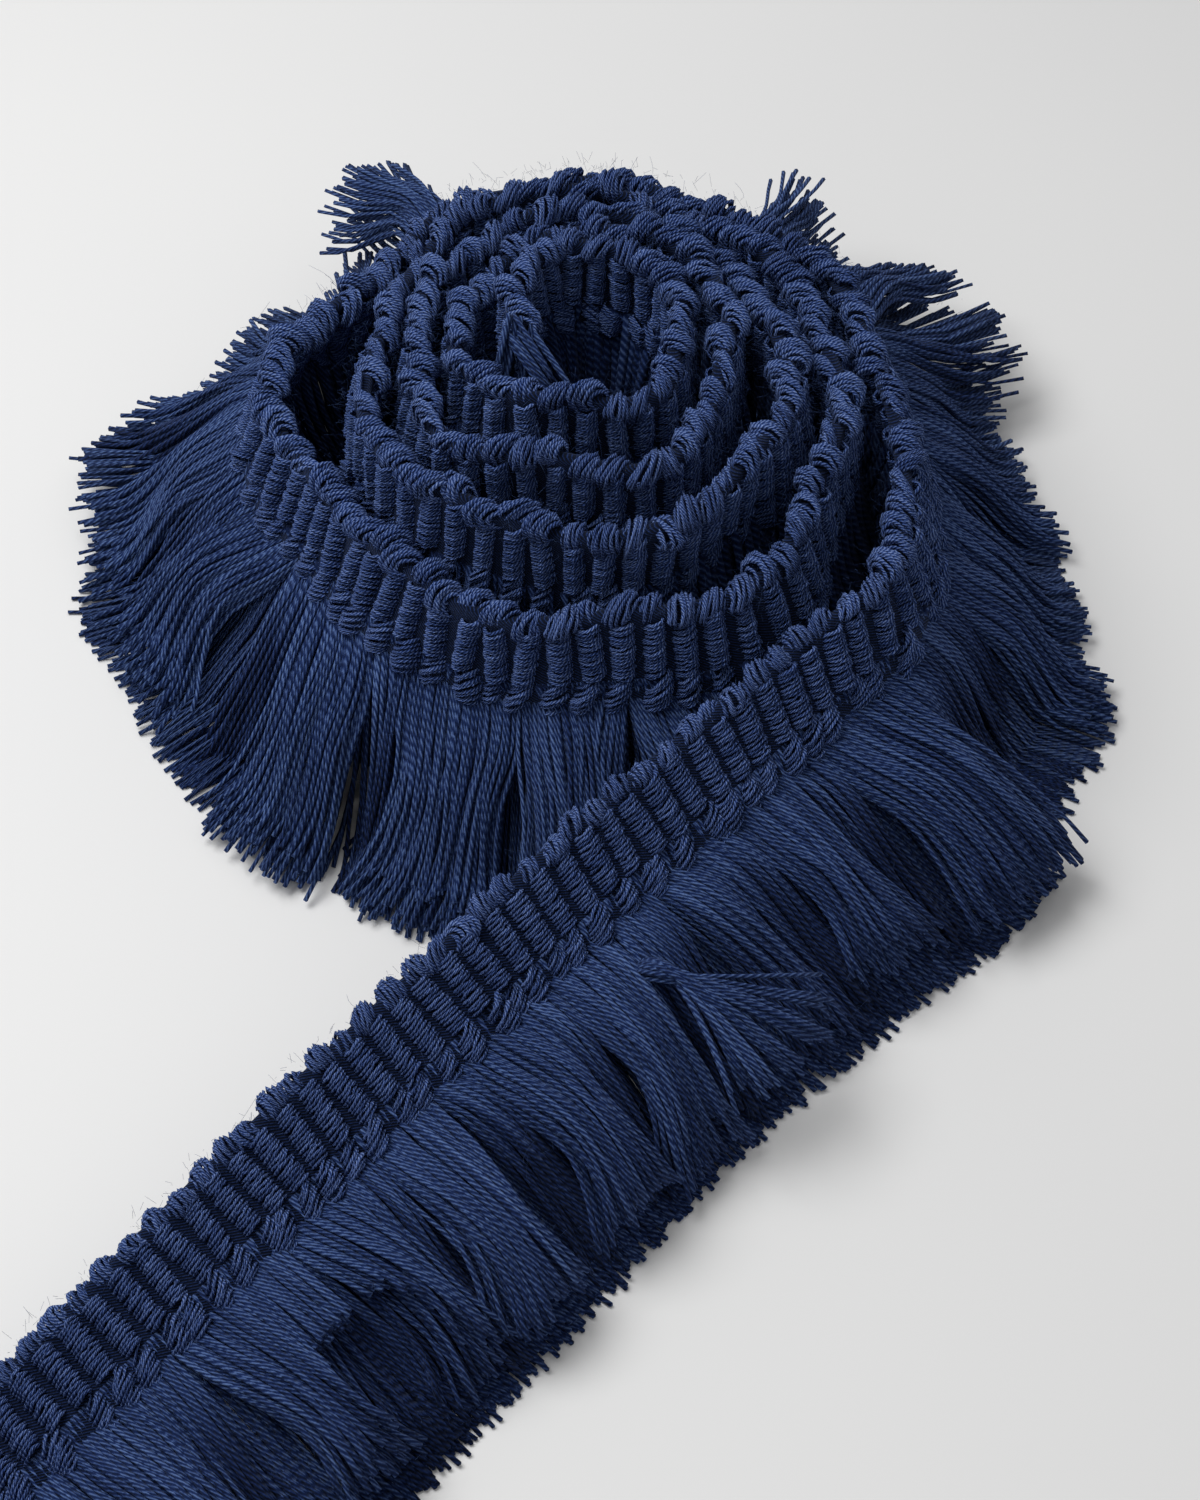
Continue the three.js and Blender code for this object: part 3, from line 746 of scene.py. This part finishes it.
def flaringPaths(form, distance, swing, reach, layer, share):
    # strand lines from their roots in the knots to the floor, a row of points for each strand
    station = stationAt(distance)
    wound, run = station["wound"][:, 0], station["run"][:, 0]
    coiled = wound > 0
    past = distance - strip["corner"]
    turn = np.radians(wound + swing + readTable(fringe["sweep"], 1, past))
    for at, before, after, spread in partings:
        turn += np.radians(np.where(past < at, before, after) * np.exp(-(((past - at) / spread) ** 2)))
    heads = np.stack((np.cos(turn), np.sin(turn), np.zeros(len(turn))), axis=1)
    rise = np.where(coiled, bumps(tufts, wound, 1), 0)
    plain = np.where(coiled, fringe["outerReach"] + bumps(tufts, wound, 2), readTable(tailRows, 4, run))
    plain += bumps(notches, past, 1)
    out, drop, thick = (readTable(form, column, share) for column in (1, 2, 3))
    if form is fringe["tail"]:  # straight beside the coil, arched further along
        straight = (1 - smooth(run, fringe["arch"]))[:, None]
        out = out + (share - out) * straight
        drop = drop + (share ** fringe["straightFall"] - drop) * straight
    root = pointAt(station, fringe["rootDepth"], 0)
    middle = root[:, None, :] + heads[:, None, :] * ((plain + reach)[:, None] * out)[:, :, None]
    height = root[:, 2:] * (1 - drop) + (thick / 2 + rise[:, None]) * drop
    middle[:, :, 2] = np.maximum(height, thick / 2)
    along = unit(np.gradient(middle, axis=1))
    sideways = np.stack((-heads[:, 1], heads[:, 0], heads[:, 2]), axis=1)
    over = np.cross(along, np.broadcast_to(sideways[:, None, :], along.shape))
    return middle + over * (layer[:, None] * (thick / 2 - fringe["radius"]))[:, :, None]


def gatherLocks(row, start, end, given, rng):
    # start, waist, ends, rise and turn of each lock: random ones, then those given
    edges = [start - rng.uniform(*strandScatter["firstLock"])]
    while edges[-1] < end:
        edges.append(edges[-1] + rng.uniform(*row["widths"][(len(edges) - 1) % 2]))
    fanned = np.arange(len(edges)) % 2
    waist, ends, lifted = (
        np.where(fanned, *rng.uniform(*np.array(row[key])[::-1].T[:, :, None], (2, len(edges))))
        for key in ("waist", "ends", "lift"))
    turned = rng.normal(0, row["swing"], len(edges))
    rows = np.stack((edges, waist, ends, lifted, turned), axis=1)
    if given is not None:
        given = given + np.array((strip["corner"], 0, 0, 0, 0))
        rows = np.concatenate((rows[rows[:, 0] < given[0, 0] - lockGap], given))
    return rows.T


def layFringe(name, kind, start, end, seed):
    rng = np.random.default_rng(seed)
    row, layers = strandRows[kind], strandRows[kind]["layers"]
    perLayer = int(row["perRib"] * (end - start) / trim["ribPitch"])
    groups, strands = [], 0
    for pair, (rings, sides, calm, stray) in enumerate(layerPairs[:(layers + 1) // 2]):
        here = min(2, layers - 2 * pair) + pair // 2  # every two layers together, the lowest closer together
        count = perLayer * here
        place = np.tile(np.arange(perLayer), here) + 0.5
        place = place + rng.uniform(-strandScatter["place"], strandScatter["place"], count)
        distance = start + place * (end - start) / perLayer
        distance = np.clip(distance, start + fringe["endGap"], end - fringe["endGap"])
        past = distance - strip["corner"]
        level = 2 * pair + np.repeat(np.arange(here), perLayer) % 2
        level = level + rng.uniform(*strandScatter["level"], count)
        layer = 1 - 2 * np.minimum(level / layers, 1)  # from 1 at the top to -1
        folded = np.clip(bumps(crease["rows"], past, 1), 0, 1)
        if pair != 1:  # the second pair keeps the locks of the first
            given = givenLocks[name] if pair == 0 else None
            edges, waist, ends, lifted, turned = gatherLocks(row, start, end, given, rng)
            amount = len(edges) - 1
            bent = rng.normal(0, row["bend"], amount)
        lock = np.searchsorted(edges, distance + rng.normal(0, strandScatter["mingled"], count)) - 1
        lock = np.clip(lock, 0, amount - 1)
        middle = np.clip((edges[:-1] + edges[1:]) / 2, start, end)[lock]
        beside = np.clip(2 * (distance - middle) / np.diff(edges)[lock], -1.2, 1.2)  # -1 and 1 at its edges
        swing = (turned[:-1] + rng.normal(0, strandScatter["lockSwing"], amount))[lock] * calm
        reach = rng.normal(0, row["reach"], amount)[lock] * calm
        reach = reach + np.clip(rng.normal(0, strandScatter["reach"], count), *strandScatter["reachEnds"])

        short = row["cut"] * (row["cutStart"] + (1 - row["cutStart"]) * smooth(past, fringe["shorter"]))
        longest = 1 - short * (1 + layer) / 2 + rng.normal(0, strandScatter["cut"], count)
        if pair == 0:
            longest = longest * (1 - crease["cut"] * folded)
        share = np.linspace(0, 1, rings)[None, :] * np.clip(longest, 0, 1)[:, None]
        form = fringe[kind if pair < 2 else kind + "Under"]
        ownSwing = swing + rng.normal(0, strandScatter["swing"], count)
        own = flaringPaths(form, distance, ownSwing, reach, layer, share)
        gathered = flaringPaths(form, middle, swing, reach, layer, share)
        half, full = smooth(share, fringe["waist"]), smooth(share, fringe["spread"])
        pull = (waist[lock] * calm)[:, None] * half * (1 - full) + (ends[lock] * calm)[:, None] * full
        lines = own + (gathered - own) * pull[:, :, None]

        station = stationAt(distance)
        waves = []
        for high in strandScatter["waveHeights"]:
            turns = rng.uniform(*strandScatter["waves"], (count, 1)) * share + rng.uniform(0, 1, (count, 1))
            waves.append(high * np.sin(2 * np.pi * turns) * np.sqrt(share))
        drift = row["drift"] * stray * np.clip(rng.normal(0, 1, (count, 1)), *strandScatter["driftEnds"])
        bend = (bent[lock] * calm)[:, None] * np.sin(np.pi * share)
        sideways = waves[0] + drift * share ** fringe["strayCurve"] + bend
        lines += station["along"][:, None, :] * sideways[:, :, None]
        risen = lifted[lock] * calm
        if pair == 1:
            risen = risen - crease["sunk"] * folded
        lines[:, :, 2] += waves[1] + risen[:, None] * half + row["crest"] * calm * np.sin(np.pi * share)
        lower = row["round"] * np.abs(beside) ** fringe["roundCurve"]
        lines[:, :, 2] -= lower[:, None] * np.clip(share * fringe["roundRate"], 0, 1)
        lines[:, :, 2] = np.maximum(lines[:, :, 2], fringe["radius"] + floorGap)
        root = pointAt(station, fringe["startDepth"], layer * fringe["startSpread"])
        lines = np.concatenate((root[:, None, :], lines), axis=1)

        radii = fringe["radius"] * (1 + rng.normal(0, strandScatter["radius"], (count, 1)))
        radii = np.repeat(radii, rings + 1, axis=1)
        radii[:, -1] *= fringe["cutEnd"]
        # painted shade: strands are darker where their lock lies lower, and towards the hem
        shade = fringe["tucked"] * np.minimum(risen, 0)[:, None] * half - row["hemShade"] * share
        tone = rng.normal(*strandScatter["tone"], (count, 1)) + np.pad(shade, ((0, 0), (1, 0)))
        # painted shade: the layers under the fold are darker
        if pair > 1:
            tone -= crease["dark"] * folded[:, None]
        tone = np.clip(tone, *strandScatter["toneEnds"])
        groups.append(yarnTubes(lines, radii, station["along"], sides, tone))
        strands += count
    print(name + ":", strands, "strands")
    return groups


halfway = (strip["flare"] + strip["corner"]) / 2
for name, kind, start, end, seed in (
        ("fringe_of_tail", "tail", *spans["tail"], 41),
        ("fringe_of_coil_front", "outer", strip["flare"], halfway, 42),
        ("fringe_of_coil_back", "outer", halfway, strip["corner"], 43)):
    strandTubes = layFringe(name, kind, start, end, seed)
    addTrim(name, strandTubes, strandYarn, "fringe_" + kind)

# the fringe of the inner turns, and what the outer turn drops inwards: it fills the coil down to the floor
hanging = {
    "perRib": 9,
    "rings": 5,
    "sides": 3,
    "radius": 0.6,
    "rootDepth": 10.0,
    "rootFront": (-0.7, 0.7),
    "outwards": (-5.0, 15.0),
    "inwards": (-16.0, 0.0),
    "eye": 60.0,  # along the strip, what hangs into the middle
    "sway": 1.5,
    "fall": 1.6,  # powers of the curves by which they fall and spread
    "spread": 1.3,
    # painted shade: a darker tone than the outer strands, for the shade inside the coil
    "tone": (0.2, 0.2),
    "stepped": 0.618,  # steps of this share of the way spread them evenly
}


def hangInnerFringe():
    rng = np.random.default_rng(51)
    groups = []
    share = np.linspace(0, 1, hanging["rings"])
    for (start, end), (least, most) in (
            (spans["inner"], hanging["outwards"]),
            (spans["outer"], hanging["inwards"]),
            ((0.0, hanging["eye"]), hanging["inwards"])):
        count = int(hanging["perRib"] * (end - start) / trim["ribPitch"])
        distance = start + (np.arange(count) + rng.uniform(0, 1, count)) * (end - start) / count
        station = stationAt(np.clip(distance, start + fringe["endGap"], end - fringe["endGap"]))
        root = pointAt(station, hanging["rootDepth"], rng.uniform(*hanging["rootFront"], count))
        lines = np.repeat(root[:, None, :], hanging["rings"], axis=1)
        lines[:, :, 2] = root[:, 2:] * (1 - share) ** hanging["fall"] + hanging["radius"]
        outwards = least + (most - least) * (np.arange(count) * hanging["stepped"] % 1)
        sway = station["along"] * rng.normal(0, hanging["sway"], (count, 1))
        sway += station["outward"] * outwards[:, None]
        lines += sway[:, None, :] * (share ** hanging["spread"])[None, :, None]
        tone = np.clip(rng.normal(*hanging["tone"], count), 0, 1)
        groups.append(yarnTubes(lines, hanging["radius"], station["along"], hanging["sides"], tone))
    return groups


addTrim("fringe_of_inner_turns", hangInnerFringe(), strandYarn, "fringe_inner")
print("inner fringe hung")

# yarns freed at the inner cut end
freed = {
    "yarns": ((1.2, 2.4, 1.4, 9.0, 14), (2.2, 8.0, -3.8, 4.2, 14)),  # depth, forward, aside, fall, number
    "rings": 9,
    "sides": 5,
    "start": 0.3,
    "depthSpread": 0.8,
    "front": (-1.9, 1.9),
    "spread": 0.45,
    "fallSpread": 0.2,
    "turn": 1.2,  # powers of the curves by which they turn and fall
    "fall": 1.6,
    "tone": (0.55, 0.2),
}
# a lock that fans out on top of the tail's fringe
looseLock = {
    "run": 48,
    "reach": 11.0,  # from the knots to the point of the fan
    "front": 0.6,
    "lift": 1.4,
    "liftSpread": (-0.5, 0.9),
    "round": 0.8,  # how much lower its sides start
    "width": 0.4,  # half of it at the point
    "widthSpread": 0.3,
    "root": (7, 5.0, 0.6),  # how far back and down from the point, and half its width
    "directions": (62, -14),  # of its two sides, degrees from straight out
    "turnSpread": 4,
    "strands": 40,
    "besideSpread": 0.08,
    "length": 15.5,
    "shorter": 0.13,  # its middle, and twice that its far side
    "lengthSpread": 0.9,
    "ends": 11.5,  # their height
    "endSpread": 0.8,
    "rings": 13,
    "sides": 5,
    "tone": (0.55, 0.2),
}


def freeInnerEnd():
    rng = np.random.default_rng(61)
    groups = []
    share = np.linspace(0, 1, freed["rings"])[None, :, None]
    for depth, forward, aside, fall, count in freed["yarns"]:
        station = stationAt(np.full(count, freed["start"]))
        depths = depth + rng.normal(0, freed["depthSpread"], count)
        root = pointAt(station, depths, rng.uniform(*freed["front"], count))
        spread = rng.normal(0, freed["spread"], (3, count, 1, 1))
        lines = root[:, None, :]
        lines = lines - station["along"][:, None, :] * (forward + spread[0]) * np.sin(share * np.pi / 2)
        lines = lines + station["face"][:, None, :] * (aside + spread[1]) * share ** freed["turn"]
        fallen = fall * (1 + freed["fallSpread"] * spread[2]) * share ** freed["fall"]
        lines = lines + station["down"][:, None, :] * fallen
        tone = np.clip(rng.normal(*freed["tone"], count), 0, 1)
        groups.append(yarnTubes(lines, fringe["radius"], station["face"], freed["sides"], tone))
    return groups


def layLooseLock():
    rng = np.random.default_rng(62)
    row, count = looseLock, looseLock["strands"]
    beside = np.linspace(1, -1, count) + rng.normal(0, row["besideSpread"], count)
    station = stationAt(np.full(count, strip["corner"] + row["run"]))
    first, last = row["directions"]
    turn = (first + last) / 2 + (first - last) / 2 * beside + rng.normal(0, row["turnSpread"], count)
    turn = np.radians(turn)[:, None]
    heads = station["outward"] * np.cos(turn) - station["along"] * np.sin(turn)
    fan = pointAt(station, fringe["rootDepth"], row["front"]) + station["outward"] * row["reach"]
    fan += station["along"] * (rng.normal(0, row["widthSpread"], count) - row["width"] * beside)[:, None]
    fan[:, 2] += row["lift"] + rng.uniform(*row["liftSpread"], count) - row["round"] * beside ** 2
    back, down, width = row["root"]
    root = fan - station["outward"] * back + station["along"] * (width * beside)[:, None]
    root[:, 2] -= down
    long = row["length"] * (1 - row["shorter"] * (1 - beside)) + rng.normal(0, row["lengthSpread"], count)
    tips = fan + heads * long[:, None]
    tips[:, 2] = row["ends"] + rng.normal(0, row["endSpread"], count)
    bend = 2 * fan - (root + tips) / 2  # so that the curve passes the fan's point half way
    share = np.linspace(0, 1, row["rings"])[None, :, None]
    lines = (root[:, None, :] * (1 - share) ** 2 + bend[:, None, :] * 2 * share * (1 - share)
             + tips[:, None, :] * share ** 2)
    tone = np.clip(rng.normal(*row["tone"], count), 0, 1)
    return [yarnTubes(lines, fringe["radius"], station["along"], row["sides"], tone)]


addTrim("freed_inner_end", freeInnerEnd(), strandYarn, "heading")
addTrim("loose_locks", layLooseLock(), strandYarn, "fringe_tail")
print("loose ends laid")

# single fibres that stand off the yarn, a soft halo from nearby, drawn thicker than the real 0.02 mm so that
# they show. Counts are for the upper edge, ribs, knots and strands
fuzz = {
    "radius": 0.015,
    "short": {"length": (0.3, 1.0), "rings": 2, "counts": (5000, 2000, 2000, 700)},
    "long": {"length": (0.8, 2.2), "rings": 4, "counts": (500, 100, 200, 150)},
    "places": (((-0.4, 3.2), 2.0), ((3.0, 9.0), 1.7), ((9.0, 12.8), 1.7)),  # depths, how far off the middle
    "endGap": 1.0,
    "upwards": (-0.2, 0.9),
    "shares": (0.05, 0.9),  # of a strand's length
    "shareStep": 0.03,
    "overStrands": 1.15,
    "spread": 0.5,
    "curl": 0.6,
}


def raiseFibres(kind, seed):
    rng = np.random.default_rng(seed)
    gap = fuzz["endGap"]
    rows = []
    for count, (depths, off) in zip(kind["counts"], fuzz["places"]):
        station = stationAt(rng.uniform(gap, strip["length"] - gap, count))
        front = rng.choice((-1, 1), count)
        start = pointAt(station, rng.uniform(*depths, count), front * off)
        upwards = rng.uniform(*fuzz["upwards"], count)[:, None]
        rows.append((start, station["face"] * front[:, None] - station["down"] * upwards))
    strands = kind["counts"][-1]
    for name in ("tail", "outer"):
        distance = rng.uniform(spans[name][0] + gap, spans[name][1] - gap, strands)
        share = rng.uniform(*fuzz["shares"], strands)[:, None] + np.arange(3) * fuzz["shareStep"]
        still, over = np.zeros(strands), np.full(strands, fuzz["overStrands"])
        lines = flaringPaths(fringe[name], distance, still, still, over, share)
        rows.append((lines[:, 1], np.tile((0.0, 0.0, 1.0), (strands, 1))))
    start = np.concatenate([row[0] for row in rows])
    away = unit(np.concatenate([row[1] for row in rows]) + rng.normal(0, fuzz["spread"], start.shape))
    long = rng.uniform(*kind["length"], len(start))[:, None, None]
    share = np.linspace(0, 1, kind["rings"])[None, :, None]
    curl = rng.normal(0, fuzz["curl"], start.shape)
    lines = start[:, None, :] + long * (away[:, None, :] * share + curl[:, None, :] * share ** 2)
    across = np.cross(away, rng.normal(0, 1, start.shape))
    return yarnTubes(lines, fuzz["radius"], across, 3, np.ones(len(start)))


fibreTubes = [raiseFibres(fuzz["short"], 71), raiseFibres(fuzz["long"], 72)]
addTrim("loose_fibres", fibreTubes, strandYarn, "heading")
print("fibres raised")

triangles = {piece.name: sum(len(face.vertices) - 2 for face in piece.data.polygons) for piece in trimPieces}
print("triangles:", triangles)

floorBoard = {"halfSize": 8000, "dark": "#e1e1e1", "pale": "#e8e8e7", "cloudsPerMetre": 6.0}


def layFloor():
    # a matt white board: pale, with a faint cloud in its tone
    shape = bmesh.new()
    bmesh.ops.create_grid(shape, x_segments=1, y_segments=1, size=floorBoard["halfSize"] * mm)
    mesh = bpy.data.meshes.new("floor")
    shape.to_mesh(mesh)
    shape.free()
    material = bpy.data.materials.new("mattWhiteBoard")
    material.use_nodes = True
    tree = material.node_tree
    tree.nodes.clear()
    place = addNode(tree, "TexCoord", {}, {})
    cloud = addNode(tree, "TexNoise", {}, {
        "Vector": place.outputs["Object"], "Scale": floorBoard["cloudsPerMetre"]})
    ramp = addNode(tree, "ValToRGB", {}, {0: cloud.outputs["Fac"]})
    ramp.color_ramp.elements[0].color = fromHex(floorBoard["dark"])
    ramp.color_ramp.elements[1].color = fromHex(floorBoard["pale"])
    shader = addNode(tree, "BsdfPrincipled", {}, {"Base Color": ramp.outputs[0], "Roughness": 0.7})
    addNode(tree, "OutputMaterial", {}, {0: shader.outputs[0]})
    mesh.materials.append(material)
    floor = addObject("floor", mesh)


layFloor()
print("floor laid")
